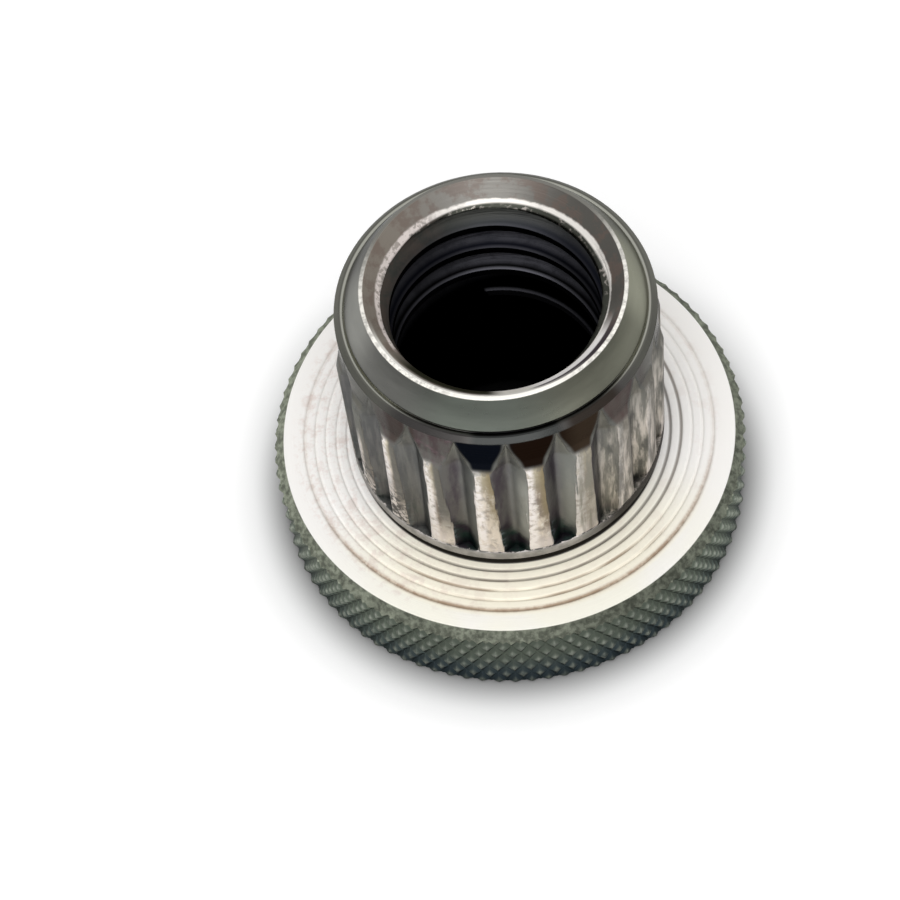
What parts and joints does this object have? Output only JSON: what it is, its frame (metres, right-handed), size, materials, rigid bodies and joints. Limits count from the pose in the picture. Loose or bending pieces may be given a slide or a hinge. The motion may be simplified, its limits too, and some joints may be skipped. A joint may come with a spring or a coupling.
{
  "type": "threaded insert",
  "caption": "Flanged metal insert with a splined barrel, a knurled flange edge, a conical nose and a tapped through hole, to be pressed or moulded into a part.",
  "frame": {"origin": "centre of the flange's flat underside", "axes": "+Z along the tapped hole, from the flange towards the nose; X and Y lie in the underside"},
  "size_m": [0.016, 0.016, 0.012],
  "materials": {
    "metal": "bright turned metal with fine tool rings"
  },
  "bodies": {
    "root": {"insert_body": "metal"}
  },
  "joints": []
}
